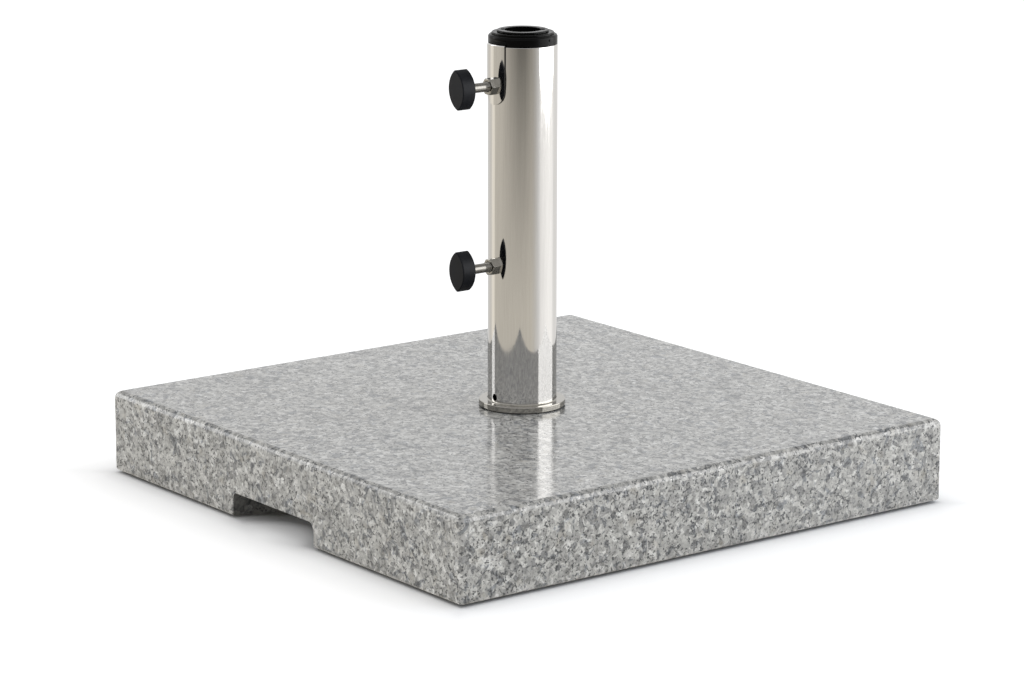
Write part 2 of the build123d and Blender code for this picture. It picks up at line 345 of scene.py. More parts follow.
class NodeTree:
    """A small wrapper that builds the nodes of a material or a world line by line."""

    def __init__(self, owner):
        owner.use_nodes = True
        self.tree = owner.node_tree

    def node(self, kind, **settings):
        made = self.tree.nodes.new(kind)
        for key, value in settings.items():
            setattr(made, key, value)
        return made

    def put(self, socket, value):
        """Link an output to a socket, or set a plain value."""
        if isinstance(value, bpy.types.NodeSocket):
            self.tree.links.new(value, socket)
        else:
            socket.default_value = value

    def ramp(self, value, stops):
        """A colour ramp; stops are (position, grey or colour)."""
        made = self.node("ShaderNodeValToRGB")
        elements = made.color_ramp.elements
        while len(elements) < len(stops):
            elements.new(1.0)
        for element, (position, colour) in zip(elements, stops):
            element.position = position
            if isinstance(colour, (int, float)):
                colour = (colour, colour, colour)
            element.color = (*colour, 1.0)
        self.put(made.inputs["Fac"], value)
        return made.outputs["Color"]

    def spread(self, value, low, high, to_low, to_high):
        """Map a value's range to another, clamped."""
        made = self.node("ShaderNodeMapRange")
        for key, number in (("From Min", low), ("From Max", high), ("To Min", to_low), ("To Max", to_high)):
            made.inputs[key].default_value = number
        self.put(made.inputs["Value"], value)
        return made.outputs["Result"]

    def mix(self, factor, a, b, blend="MIX"):
        made = self.node("ShaderNodeMix", data_type="RGBA", blend_type=blend)
        self.put(made.inputs["Factor"], factor)
        for socket, value in ((made.inputs[6], a), (made.inputs[7], b)):
            if isinstance(value, tuple):
                value = (*value, 1.0)
            self.put(socket, value)
        return made.outputs[2]

    def math(self, operation, a, b=0.0):
        made = self.node("ShaderNodeMath", operation=operation)
        self.put(made.inputs[0], a)
        self.put(made.inputs[1], b)
        return made.outputs[0]


class Shader(NodeTree):
    """A material about its main shader, in the object's own coordinates."""

    def __init__(self, name):
        self.material = bpy.data.materials.new(name)
        super().__init__(self.material)
        self.bsdf = self.tree.nodes["Principled BSDF"]
        self.place = self.node("ShaderNodeTexCoord").outputs["Object"]

    def surface(self, **values):
        """Set the main shader's sockets; underscores in the names stand for spaces."""
        for key, value in values.items():
            self.put(self.bsdf.inputs[key.replace("_", " ")], value)

    def stretched(self, x, y, z):
        """Object coordinates scaled by these factors."""
        mapping = self.node("ShaderNodeMapping")
        self.put(mapping.inputs["Vector"], self.place)
        mapping.inputs["Scale"].default_value = (x, y, z)
        return mapping.outputs["Vector"]

    def noise(self, scale, detail=3.0, roughness=0.55, vector=None, distortion=0.0):
        made = self.node("ShaderNodeTexNoise")
        self.put(made.inputs["Vector"], vector or self.place)
        made.inputs["Scale"].default_value = scale
        made.inputs["Detail"].default_value = detail
        made.inputs["Roughness"].default_value = roughness
        made.inputs["Distortion"].default_value = distortion
        return made

    def cells(self, scale, vector=None, feature="F1"):
        made = self.node("ShaderNodeTexVoronoi", feature=feature)
        self.put(made.inputs["Vector"], vector or self.place)
        made.inputs["Scale"].default_value = scale
        return made

    def warp(self, scale, amount):
        """Object coordinates pushed about by noise, for ragged grain edges."""
        noise = self.noise(scale, detail=2.0)
        centred = self.node("ShaderNodeVectorMath", operation="SUBTRACT")
        self.put(centred.inputs[0], noise.outputs["Color"])
        centred.inputs[1].default_value = (0.5, 0.5, 0.5)
        pushed = self.node("ShaderNodeVectorMath", operation="MULTIPLY_ADD")
        self.put(pushed.inputs[0], centred.outputs[0])
        pushed.inputs[1].default_value = (amount, amount, amount)
        self.put(pushed.inputs[2], self.place)
        return pushed.outputs[0]

    def bump(self, height, strength, distance):
        made = self.node("ShaderNodeBump")
        made.inputs["Strength"].default_value = strength
        made.inputs["Distance"].default_value = distance
        self.put(made.inputs["Height"], height)
        self.put(self.bsdf.inputs["Normal"], made.outputs["Normal"])


# ---------------- materials


def granite_colour(shader):
    """Pale interlocked feldspar, bluish quartz, a few warm stains, and black mica along the grain edges."""
    ragged = shader.warp(scale=230, amount=4.5 * MM)
    grains = shader.cells(scale=225, vector=ragged)
    tones = shader.node("ShaderNodeSeparateColor")
    shader.put(tones.inputs["Color"], grains.outputs["Color"])
    feldspar = shader.ramp(tones.outputs["Red"], [
        (0.0, (0.225, 0.227, 0.227)), (0.18, (0.36, 0.356, 0.342)), (0.55, (0.475, 0.469, 0.446)),
        (0.85, (0.575, 0.566, 0.54)), (1.0, (0.66, 0.655, 0.632)),
    ])
    fine = shader.noise(scale=560, detail=4.0, roughness=0.65, vector=ragged)
    fine_tone = shader.ramp(fine.outputs["Fac"], [(0.34, 0.79), (0.50, 1.0), (0.66, 1.12)])
    flecked = shader.mix(1.0, feldspar, fine_tone, blend="MULTIPLY")
    middle = shader.noise(scale=230, detail=3.0, roughness=0.6, distortion=0.8)
    middle_tone = shader.ramp(middle.outputs["Fac"], [(0.36, 0.58), (0.50, 1.0), (0.64, 1.14)])
    clouded = shader.mix(1.0, flecked, middle_tone, blend="MULTIPLY")
    quartz = shader.noise(scale=88, detail=3.0, roughness=0.6, distortion=1.2)
    quartz_amount = shader.spread(quartz.outputs["Fac"], 0.565, 0.62, 0.0, 1.0)
    quartz_tone = shader.mix(quartz_amount, (1.0, 1.0, 1.0), (0.50, 0.523, 0.565))
    shaded = shader.mix(1.0, clouded, quartz_tone, blend="MULTIPLY")
    warm = shader.spread(shader.noise(scale=85, detail=2.0).outputs["Fac"], 0.60, 0.72, 0.0, 0.45)
    warmed = shader.mix(warm, shaded, (0.44, 0.41, 0.35))
    flake_field = shader.warp(scale=300, amount=3.0 * MM)
    edges = shader.cells(scale=240, vector=flake_field, feature="DISTANCE_TO_EDGE")
    along_edge = shader.spread(edges.outputs["Distance"], 0.07, 0.13, 1.0, 0.0)
    broken = shader.noise(scale=300, detail=2.0, roughness=0.6)
    crowding = shader.noise(scale=55, detail=2.0)
    threshold = shader.spread(crowding.outputs["Fac"], 0.35, 0.65, 0.60, 0.505)
    present = shader.spread(shader.math("SUBTRACT", broken.outputs["Fac"], threshold), 0.0, 0.03, 0.0, 1.0)
    flakes = shader.math("MULTIPLY", along_edge, present)
    specks = shader.cells(scale=330, vector=flake_field)
    speck_tones = shader.node("ShaderNodeSeparateColor")
    shader.put(speck_tones.inputs["Color"], specks.outputs["Color"])
    chosen = shader.math("LESS_THAN", speck_tones.outputs["Green"], 0.10)
    spots = shader.math("MULTIPLY", chosen, shader.spread(specks.outputs["Distance"], 0.25, 0.42, 1.0, 0.0))
    mica = shader.math("MAXIMUM", flakes, spots)
    return shader.mix(shader.math("MULTIPLY", mica, 0.92), warmed, (0.055, 0.058, 0.062))


def polished_granite():
    shader = Shader("granite_polished")
    colour = granite_colour(shader)
    pits = shader.noise(scale=900, detail=2.0)
    shader.surface(
        Base_Color=colour,
        Roughness=shader.spread(pits.outputs["Fac"], 0.35, 0.65, 0.09, 0.19),
        IOR=1.58,
    )
    shader.bump(pits.outputs["Fac"], strength=0.06, distance=0.2 * MM)
    return shader.material


def sawn_granite_painted_shade():
    shader = Shader("granite_sawn_painted_shade")
    # Painted shade: the grain is multiplied down to about a fifth so that the notch walls and the underside
    # look as dark as shade; the saw marks and roughness are the sawn stone's own
    colour = shader.mix(1.0, granite_colour(shader), (0.19, 0.19, 0.185), blend="MULTIPLY")
    grit = shader.noise(scale=700, detail=4.0, roughness=0.7)
    saw_lines = shader.noise(scale=40, detail=2.0, vector=shader.stretched(1, 14, 1))
    height = shader.math("ADD", grit.outputs["Fac"], saw_lines.outputs["Fac"])
    shader.surface(Base_Color=colour, Roughness=0.85, IOR=1.5)
    shader.bump(height, strength=0.5, distance=0.5 * MM)
    return shader.material


def mirror_steel():
    shader = Shader("steel_polished")
    streaks = shader.noise(scale=60, detail=4.0, roughness=0.7, vector=shader.stretched(9, 9, 0.35))
    smears = shader.noise(scale=28, detail=3.0)
    tint = shader.ramp(streaks.outputs["Fac"], [(0.3, (0.64, 0.628, 0.610)), (0.7, (0.69, 0.678, 0.662))])
    wear = shader.math("ADD", shader.spread(streaks.outputs["Fac"], 0.35, 0.75, 0.035, 0.085),
                       shader.spread(smears.outputs["Fac"], 0.45, 0.75, 0.0, 0.05))
    shader.surface(Base_Color=tint, Metallic=1.0, Roughness=wear)
    shader.bump(streaks.outputs["Fac"], strength=0.02, distance=0.2 * MM)
    return shader.material


def satin_steel(name, dark, pale, smooth, rough):
    """Turned or milled steel between two tints and two roughnesses."""
    shader = Shader(name)
    turned = shader.noise(scale=240, detail=3.0, vector=shader.stretched(1, 5, 1))
    tint = shader.ramp(turned.outputs["Fac"], [(0.3, dark), (0.7, pale)])
    shader.surface(
        Base_Color=tint, Metallic=1.0,
        Roughness=shader.spread(turned.outputs["Fac"], 0.3, 0.7, smooth, rough),
    )
    shader.bump(turned.outputs["Fac"], strength=0.02, distance=0.1 * MM)
    return shader.material


def painted_shade_edge():
    """The cut edge of a steel plate, dull and painted near black: painted shade for the gap between plate
    and tube.
    """
    shader = Shader("steel_edge_painted_shade")
    scale = shader.noise(scale=400, detail=3.0)
    tint = shader.ramp(scale.outputs["Fac"], [(0.3, (0.022, 0.021, 0.019)), (0.7, (0.045, 0.043, 0.04))])
    shader.surface(Base_Color=tint, Roughness=0.6, IOR=1.5, Specular_IOR_Level=0.3)
    shader.bump(scale.outputs["Fac"], strength=0.2, distance=0.1 * MM)
    return shader.material


def zinc_steel():
    shader = Shader("steel_zinc")
    bloom = shader.noise(scale=180, detail=5.0, roughness=0.7)
    tint = shader.ramp(bloom.outputs["Fac"], [(0.3, (0.42, 0.43, 0.44)), (0.7, (0.62, 0.63, 0.64))])
    shader.surface(
        Base_Color=tint, Metallic=1.0,
        Roughness=shader.spread(bloom.outputs["Fac"], 0.3, 0.7, 0.34, 0.5),
    )
    shader.bump(bloom.outputs["Fac"], strength=0.08, distance=0.1 * MM)
    return shader.material


def knob_plastic():
    shader = Shader("plastic_knob")
    spark = shader.cells(scale=2600)
    dust = shader.noise(scale=90, detail=3.0)
    tint = shader.ramp(dust.outputs["Fac"], [
        (0.35, (0.0040, 0.0046, 0.0068)), (0.75, (0.0068, 0.0076, 0.0105)),
    ])
    shader.surface(
        Base_Color=tint,
        Roughness=shader.spread(dust.outputs["Fac"], 0.3, 0.7, 0.33, 0.43),
        IOR=1.45, Specular_IOR_Level=0.15,
    )
    shader.bump(spark.outputs["Distance"], strength=0.12, distance=0.08 * MM)
    return shader.material


def ring_plastic():
    shader = Shader("plastic_ring")
    flow = shader.noise(scale=70, detail=3.0, vector=shader.stretched(1, 1, 4))
    tint = shader.ramp(flow.outputs["Fac"], [(0.35, 0.0012), (0.75, 0.0024)])
    shader.surface(
        Base_Color=tint,
        Roughness=shader.spread(flow.outputs["Fac"], 0.3, 0.7, 0.20, 0.30),
        IOR=1.5, Specular_IOR_Level=0.08,
    )
    shader.bump(shader.noise(scale=1500, detail=2.0).outputs["Fac"], strength=0.08, distance=0.06 * MM)
    return shader.material


def rubber():
    shader = Shader("rubber_black")
    grain = shader.noise(scale=1300, detail=3.0)
    tint = shader.ramp(shader.noise(scale=120).outputs["Fac"], [(0.3, 0.012), (0.7, 0.024)])
    shader.surface(Base_Color=tint, Roughness=0.82, IOR=1.5)
    shader.bump(grain.outputs["Fac"], strength=0.25, distance=0.1 * MM)
    return shader.material


def nylon():
    shader = Shader("nylon_black")
    grain = shader.noise(scale=900, detail=2.0)
    tint = shader.ramp(grain.outputs["Fac"], [(0.3, 0.018), (0.7, 0.03)])
    shader.surface(Base_Color=tint, Roughness=0.5, IOR=1.53)
    shader.bump(grain.outputs["Fac"], strength=0.1, distance=0.05 * MM)
    return shader.material


GRANITE = polished_granite()
SAWN_PAINTED_SHADE = sawn_granite_painted_shade()
MIRROR = mirror_steel()
SATIN = satin_steel("steel_satin", (0.19, 0.182, 0.166), (0.26, 0.251, 0.232), 0.20, 0.28)
NUT_STEEL = satin_steel("steel_nut", (0.26, 0.25, 0.228), (0.34, 0.328, 0.30), 0.10, 0.16)
FLANGE_STEEL = satin_steel("steel_flange", (0.34, 0.326, 0.296), (0.42, 0.404, 0.37), 0.08, 0.14)
EDGE_PAINTED_SHADE = painted_shade_edge()
ZINC = zinc_steel()
KNOB = knob_plastic()
RING = ring_plastic()
RUBBER = rubber()
NYLON = nylon()


# ---------------- granite slab


def rounded_square(bm, half, corner, z, steps=10):
    """One closed ring: a square with round corners."""
    ring = []
    for quarter, (sx, sy) in enumerate(((1, 1), (-1, 1), (-1, -1), (1, -1))):
        for k in range(steps + 1):
            angle = pi / 2 * (quarter + k / steps)
            x = sx * (half - corner) + corner * cos(angle)
            y = sy * (half - corner) + corner * sin(angle)
            ring.append(bm.verts.new((x, y, z)))
    return ring


def wheel_centre(side):
    """Where a notch's cup wheel stood, in plan; side is -1 for the front and 1 for the back."""
    return side * NOTCH_OFFSET, side * (SLAB_HALF + NOTCH_BEYOND_FACE), 0


def notch_cutter(side):
    """The cup wheel's path: a round pocket in plan, with a rounded edge to its ceiling."""
    ceiling = SLAB_BOTTOM + NOTCH_HEIGHT
    shoulder = NOTCH_RADIUS - NOTCH_CEILING_RADIUS
    profile = [(NOTCH_RADIUS, SLAB_BOTTOM - NOTCH_HEIGHT)]
    profile += arc(shoulder, ceiling - NOTCH_CEILING_RADIUS, NOTCH_CEILING_RADIUS, 0, 90, 12)
    wheel = turned_rod("cutter", profile, ROUND)
    return place(wheel, Matrix.Translation(wheel_centre(side)))


def build_slab():
    """A block with a large round arris on top and a small one beneath, then the cuts from below."""
    low_steps = 8
    top_steps = 16
    bm = bmesh.new()
    loops = []
    for k in range(low_steps + 1):
        angle = pi / 2 * (1 - k / low_steps)
        inset = BOTTOM_ARRIS * (1 - cos(angle))
        height = SLAB_BOTTOM + BOTTOM_ARRIS * (1 - sin(angle))
        loops.append(rounded_square(bm, SLAB_HALF - inset, SLAB_CORNER - inset, height))
    for k in range(top_steps + 1):
        angle = pi / 2 * k / top_steps
        inset = TOP_ARRIS * (1 - cos(angle))
        height = SLAB_TOP - TOP_ARRIS * (1 - sin(angle))
        loops.append(rounded_square(bm, SLAB_HALF - inset, SLAB_CORNER, height))
    enclose(bm, loops)
    slab = finish_mesh("granite_block", bm)
    upright = Matrix.Translation((0, 0, SLAB_BOTTOM))
    cut(slab, [
        notch_cutter(-1),
        notch_cutter(1),
        cutter_cylinder(RECESS_RADIUS, 2 * RECESS_DEPTH, upright, ROUND),
        cutter_cylinder(BOLT_HOLE_RADIUS, 4 * SLAB_TOP, upright),
    ])
    soften(slab, 0.6 * MM, angle=60)
    weigh_normals(slab)
    slab.data.materials.clear()
    slab.data.materials.append(GRANITE)
    slab.data.materials.append(SAWN_PAINTED_SHADE)
    inner = SLAB_HALF - 1 * MM
    # Faces underneath and the walls inside the notches take the sawn granite with its painted shade
    for face in slab.data.polygons:
        underneath = face.normal.z < -0.9
        inside = max(abs(face.center.x), abs(face.center.y)) < inner
        below_arris = face.center.z <= SLAB_TOP - TOP_ARRIS
        if underneath or (inside and below_arris and abs(face.normal.z) < 0.99):
            face.material_index = 1
    dress(slab, GRANITE, "base", "granite_slab")


build_slab()

# ---------------- rubber feet and gasket


def build_feet():
    """Four pads, each with a shallow cup and a moulded ring groove beneath."""
    edge = 0.8 * MM
    top_edge = 0.3 * MM
    for k in range(1, 5):
        node = f"foot_pad_{k}"
        low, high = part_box(node)
        radius = (high.x - low.x) / 2
        top = high.z
        profile = [(6 * MM, 0.9 * MM), (13 * MM, 0.7 * MM), (13.8 * MM, 0)]
        profile += [(15.6 * MM, 0), (15.9 * MM, 0.5 * MM), (16.9 * MM, 0.5 * MM), (17.2 * MM, 0)]
        profile += arc(radius - edge, edge, edge, -90, 0, 6)
        profile += [(radius, top - top_edge), (radius - top_edge, top)]
        foot = turned_rod(f"rubber_foot_{k}", profile)
        centre = (low + high) / 2
        place(foot, Matrix.Translation((centre.x, centre.y, 0)))
        dress(foot, RUBBER, "base", node)


def build_gasket():
    low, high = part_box("flange_gasket")
    outer = high.x
    middle = (low.z + high.z) / 2
    half = (high.z - low.z) / 2
    profile = [(BOLT_HOLE_RADIUS, high.z), (BOLT_HOLE_RADIUS, low.z)]
    profile += arc(outer - half, middle, half, -90, 90)
    gasket = lathe("foam_gasket", profile)
    dress(gasket, RUBBER, "base", "flange_gasket")


build_feet()
build_gasket()

# ---------------- flange and tube


def weld_ripple(angle, r, z):
    """Small overlapping beads along the weld's concave face."""
    beads = 54
    height = 0.10 * MM
    margin = 0.1 * MM
    between_toes = TUBE_RADIUS + margin < r < TUBE_RADIUS + WELD_LEG - margin
    if not between_toes or z <= FLANGE_TOP + margin / 2:
        return r, z
    along_bead = (angle * beads / TURN) % 1
    lift = height * sin(pi * along_bead) ** 0.5
    return r + lift / 2, z + lift / 2


def build_flange():
    edge = flange_high.x - FLANGE_EDGE
    bore = BOLT_CLEARANCE_RADIUS
    chamfer = 0.4 * MM
    profile = [(bore + chamfer, flange_low.z)]
    profile += arc(edge, flange_low.z + FLANGE_EDGE, FLANGE_EDGE, -90, 0)
    profile += arc(edge, FLANGE_TOP - FLANGE_EDGE, FLANGE_EDGE, 0, 90, 10)
    profile += arc(TUBE_RADIUS + WELD_LEG, FLANGE_TOP + WELD_LEG, WELD_LEG, 270, 180, 14)
    profile += [(TUBE_RADIUS, FLANGE_TOP), (bore + chamfer, FLANGE_TOP)]
    profile += [(bore, FLANGE_TOP - chamfer), (bore, flange_low.z + chamfer)]
    around = 324
    flange = lathe("welded_flange", profile, around, wobble=weld_ripple)
    weigh_normals(flange)
    dress(flange, FLANGE_STEEL, "base", "base_flange")


def build_tube():
    rim = 0.4 * MM
    profile = [(TUBE_BORE, tube_low.z), (TUBE_RADIUS, tube_low.z)]
    profile += arc(TUBE_RADIUS - rim, TUBE_RIM - rim, rim, 0, 90, 6)
    profile += arc(TUBE_BORE + rim, TUBE_RIM - rim, rim, 90, 180, 6)
    tube = lathe("polished_tube", profile, ROUND_POLISHED)
    cut(tube, [
        front_hole_cutter(SCREW_HEIGHT["upper"], SCREW_HOLE_RADIUS),
        front_hole_cutter(SCREW_HEIGHT["lower"], SCREW_HOLE_RADIUS),
        front_hole_cutter(DRAIN_HEIGHT, DRAIN_RADIUS),
    ])
    soften(tube, 0.2 * MM, angle=60)
    true_round_normals(tube, (TUBE_RADIUS, TUBE_BORE))
    dress(tube, MIRROR, "base", "stand_tube")


# ---------------- saddle plate and weld nuts


def build_saddle():
    """A round-bottomed tongue, rolled to the tube with its lip folded over the rim."""
    inner = SADDLE_OUTER - SADDLE_THICKNESS
    bend = SADDLE_THICKNESS - 0.1 * MM
    top = saddle_high.z
    lip_end = TUBE_BORE + 0.1 * MM
    lip_chamfer = 0.3 * MM
    half_width = saddle_high.x
    round_centre = saddle_low.z + half_width
    columns = 72
    bm = bmesh.new()
    rings = []
    for k in range(columns + 1):
        across = -cos(pi * k / columns)
        angle = -pi / 2 + SADDLE_HALF_ANGLE * across
        bottom = round_centre - half_width * sqrt(max(0.0, 1 - across**2))
        section = [(inner, bottom), (SADDLE_OUTER, bottom)]
        # Two points low on the outer face are enough, because it is straight
        section += steps_between(SADDLE_OUTER, bottom + 1 * MM, top - bend - 1 * MM, 6 * MM)[:2]
        section += arc(SADDLE_OUTER - bend, top - bend, bend, 0, 90, 10)
        section += [(lip_end + lip_chamfer, top), (lip_end, top - lip_chamfer)]
        section += [(lip_end, TUBE_RIM), (inner, TUBE_RIM)]
        rings.append([bm.verts.new((r * cos(angle), r * sin(angle), z)) for r, z in section])
    enclose(bm, rings)
    saddle = finish_mesh("saddle_plate", bm)
    cut(saddle, [front_hole_cutter(SCREW_HEIGHT["upper"], SCREW_HOLE_RADIUS)])
    soften(saddle, 0.2 * MM, angle=55)
    true_round_normals(saddle, (SADDLE_OUTER, inner))
    saddle.data.materials.clear()
    saddle.data.materials.append(MIRROR)
    saddle.data.materials.append(EDGE_PAINTED_SHADE)
    # The plate's cut edges take the near-black edge material, which paints the shade of the gap beside them
    for face in saddle.data.polygons:
        outward = face.center.xy.to_3d().normalized()
        across_plate = abs(face.normal.dot(outward)) < 0.5
        face.material_index = int(across_plate and face.normal.z < 0.5)
    dress(saddle, MIRROR, "base", "rim_saddle")


def build_weld_nut(node, height, seat_radius, turn):
    """A nut whose foot follows the round wall; turn is how far its +X corner is lifted."""
    face = -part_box(node)[0].y
    bore = SCREW_RADIUS + 0.05 * MM
    mouth = bore + 0.9 * MM
    nut = hexagon_nut(f"{node}_hex", WELD_NUT_FLATS, seat_radius - 3 * MM, face)
    countersink = [(bore, seat_radius - 6 * MM), (bore, face - 0.7 * MM)]
    countersink += [(mouth, face + 0.1 * MM), (mouth, face + 2 * MM)]
    cut(nut, [turned_rod("cutter", countersink, ROUND_SCREW)])
    corner_sideways = radians(-30)
    place(nut, screw_place(height) @ Matrix.Rotation(turn + corner_sideways, 4, "Z"))
    wall = cutter_cylinder(seat_radius, 40 * MM, Matrix.Translation((0, 0, height)), ROUND_POLISHED)
    cut(nut, [wall])
    soften(nut, 0.22 * MM, angle=NUT_EDGE)
    weigh_normals(nut)
    dress(nut, NUT_STEEL, "base", node)


# ---------------- clamp screws


def build_rod(node, body, height):
    low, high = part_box(node)
    inner_end = -high.y
    outer_end = -low.y
    socket = 2.05 * MM
    socket_depth = 5 * MM
    chamfer = 0.6 * MM
    thread_end = inner_end + 12 * MM
    profile = [(socket, inner_end + socket_depth), (socket, inner_end), (SCREW_RADIUS - chamfer, inner_end)]
    profile += steps_between(SCREW_RADIUS, inner_end + chamfer, thread_end, SCREW_PITCH / 8)
    profile += [(SCREW_RADIUS, outer_end - chamfer), (SCREW_RADIUS - chamfer, outer_end)]
    grooves = thread_grooves(inner_end + chamfer, thread_end, SCREW_PITCH, 0.55 * MM)
    rod = turned_rod(f"{node}_steel", profile, ROUND_SCREW, wobble=grooves)
    place(rod, screw_place(height))
    weigh_normals(rod)
    dress(rod, SATIN, body, node)


def build_tip(node, body, height):
    low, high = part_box(node)
    pad_end = -high.y
    stem_end = -low.y
    pad_radius = high.x
    edge = 0.6 * MM
    pad_back = pad_end + 3 * MM
    profile = [(0.9 * MM, pad_end + 0.25 * MM), (1.3 * MM, pad_end)]
    profile += arc(pad_radius - edge, pad_end + edge, edge, -90, 0, 6)
    profile += arc(pad_radius - edge, pad_back - edge, edge, 0, 90, 6)
    profile += [(2 * MM, pad_back), (2 * MM, stem_end - 0.3 * MM), (1.7 * MM, stem_end)]
    tip = turned_rod(f"{node}_pad", profile, ROUND_SCREW)
    place(tip, screw_place(height))
    weigh_normals(tip)
    dress(tip, NYLON, body, node)


def knob_outline(inset, z):
    """The oval's points: two long arcs that meet in two small round tips, drawn in by the inset."""
    half_length = KNOB_LENGTH / 2
    half_width = KNOB_WIDTH / 2
    tip = KNOB_TIP_RADIUS
    tip_centre = half_length - tip
    side_radius = (half_width**2 + tip_centre**2 - tip**2) / (2 * (half_width - tip))
    side_centre = side_radius - half_width
    meeting = atan2(tip_centre, side_centre)
    side_points = 28
    tip_points = 8
    arcs = [
        (-side_centre, 0, side_radius, -meeting, meeting, side_points),
        (0, tip_centre, tip, meeting, pi - meeting, tip_points),
        (side_centre, 0, side_radius, pi - meeting, pi + meeting, side_points),
        (0, -tip_centre, tip, pi + meeting, TURN - meeting, tip_points),
    ]
    points = []
    for x, y, radius, start, end, count in arcs:
        for k in range(count):
            angle = start + (end - start) * k / count
            points.append((x + (radius - inset) * cos(angle), y + (radius - inset) * sin(angle), z))
    return points


def build_knob(node, body, height, lean):
    low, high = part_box(node)
    back = -high.y
    face = -low.y
    back_edge = 1.2 * MM
    face_edge = 0.9 * MM
    bore_depth = 9 * MM
    steps = 6
    bends = [pi / 2 * k / steps for k in range(steps + 1)]
    levels = [(back_edge * (1 - sin(bend)), back + back_edge * (1 - cos(bend))) for bend in bends]
    levels += [(face_edge * (1 - cos(bend)), face - face_edge * (1 - sin(bend))) for bend in bends]
    bm = bmesh.new()
    enclose(bm, [[bm.verts.new(point) for point in knob_outline(inset, z)] for inset, z in levels])
    knob = finish_mesh(f"{node}_moulding", bm)
    bore_profile = [(SCREW_RADIUS, back - 2 * MM), (SCREW_RADIUS, back + bore_depth)]
    bore = turned_rod("cutter", bore_profile, ROUND_SCREW)
    before = back - 1 * MM
    depth = back + 0.7 * MM
    groove = [(6.2 * MM, before), (8.2 * MM, before), (7.9 * MM, depth), (6.5 * MM, depth)]
    cut(knob, [bore, lathe("cutter", groove, ROUND_SMALL)])
    weigh_normals(knob)
    place(knob, screw_place(height, lean))
    dress(knob, KNOB, body, node)


build_flange()
build_tube()
build_saddle()
for side, seat in (("upper", SADDLE_OUTER), ("lower", TUBE_RADIUS)):
    build_weld_nut(f"{side}_weld_nut", SCREW_HEIGHT[side], seat, NUT_TURN[side])
for side, screw_height in SCREW_HEIGHT.items():
    build_rod(f"{side}_screw_rod", f"{side}_screw", screw_height)
    build_tip(f"{side}_screw_tip", f"{side}_pressure_tip", screw_height)
    build_knob(f"{side}_knob", f"{side}_screw", screw_height, KNOB_LEAN[side])

# ---------------- centre bolt set


def build_bolt():
    low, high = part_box("centre_bolt")
    head_top = low.z + 7.5 * MM
    radius = 6 * MM
    chamfer = 0.6 * MM
    head = hexagon_nut("bolt_head", BOLT_FLATS, low.z, head_top, chamfer_low=True, chamfer_high=False)
    place(head, Matrix.Rotation(pi / 2, 4, "Z"))
    pitch = 1.75 * MM
    thread_low = head_top + 45 * MM
    profile = [(radius, head_top - 0.5 * MM), (radius, thread_low - 0.2 * MM)]
    profile += steps_between(radius, thread_low, high.z - chamfer, pitch / 8)
    profile += [(radius - chamfer, high.z)]
    grooves = thread_grooves(thread_low, high.z, pitch, 0.8 * MM)
    shank = turned_rod("bolt_shank", profile, ROUND_SCREW, wobble=grooves)
    apply_modifier(head, "BOOLEAN", object=shank, operation="UNION", solver="EXACT")
    bpy.data.objects.remove(shank)
    head.name = "hexagon_bolt"
    weigh_normals(head)
    dress(head, ZINC, "base", "centre_bolt")


def build_anchor_nut():
    low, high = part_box("anchor_nut")
    nut = hexagon_nut("tube_anchor_nut", BOLT_FLATS, low.z, high.z, chamfer_low=True)
    place(nut, Matrix.Rotation(pi / 2, 4, "Z"))
    bore = 6.05 * MM
    mouth = bore + 0.8 * MM
    profile = [(mouth, low.z - 1 * MM), (bore, low.z + 0.6 * MM), (bore, high.z - 0.8 * MM)]
    profile += [(mouth, high.z + 0.2 * MM), (mouth, high.z + 2 * MM)]
    cut(nut, [turned_rod("cutter", profile, ROUND_SCREW)])
    soften(nut, 0.25 * MM, angle=NUT_EDGE)
    weigh_normals(nut)
    dress(nut, ZINC, "base", "anchor_nut")


def build_washer():
    low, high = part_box("centre_washer")
    radius = high.x
    edge = 0.5 * MM
    bore = BOLT_CLEARANCE_RADIUS
    profile = [(bore, low.z + edge), (bore + edge, low.z)]
    profile += arc(radius - edge, low.z + edge, edge, -90, 0, 5)
    profile += arc(radius - edge, high.z - edge, edge, 0, 90, 5)
    profile += [(bore + edge, high.z), (bore, high.z - edge)]
    around = 160
    washer = lathe("plain_washer", profile, around)
    weigh_normals(washer)
    dress(washer, ZINC, "base", "centre_washer")


def build_spring_washer():
    """A split ring of square wire; its two slanted ends face each other across the gap."""
    low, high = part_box("spring_washer")
    outer = high.y
    inner = BOLT_CLEARANCE_RADIUS
    half_gap = asin(1.25 * MM / outer)
    slant = radians(9)
    edge = 0.3 * MM
    steps = 120
    section = [(inner + edge, low.z), (outer - edge, low.z), (outer, low.z + edge)]
    section += [(outer, high.z - edge), (outer - edge, high.z), (inner + edge, high.z)]
    section += [(inner, high.z - edge), (inner, low.z + edge)]
    bm = bmesh.new()
    rings = []
    middle = (low.z + high.z) / 2
    for k in range(steps + 1):
        ring = []
        for r, z in section:
            lean = slant * (z - middle) / (high.z - low.z)
            angle = half_gap + (TURN - 2 * half_gap) * k / steps + lean
            ring.append(bm.verts.new((r * cos(angle), r * sin(angle), z)))
        rings.append(ring)
    enclose(bm, rings)
    washer = finish_mesh("split_washer", bm)
    weigh_normals(washer)
    dress(washer, ZINC, "base", "spring_washer")


build_bolt()
build_anchor_nut()
build_washer()
build_spring_washer()

# ---------------- pole reducers


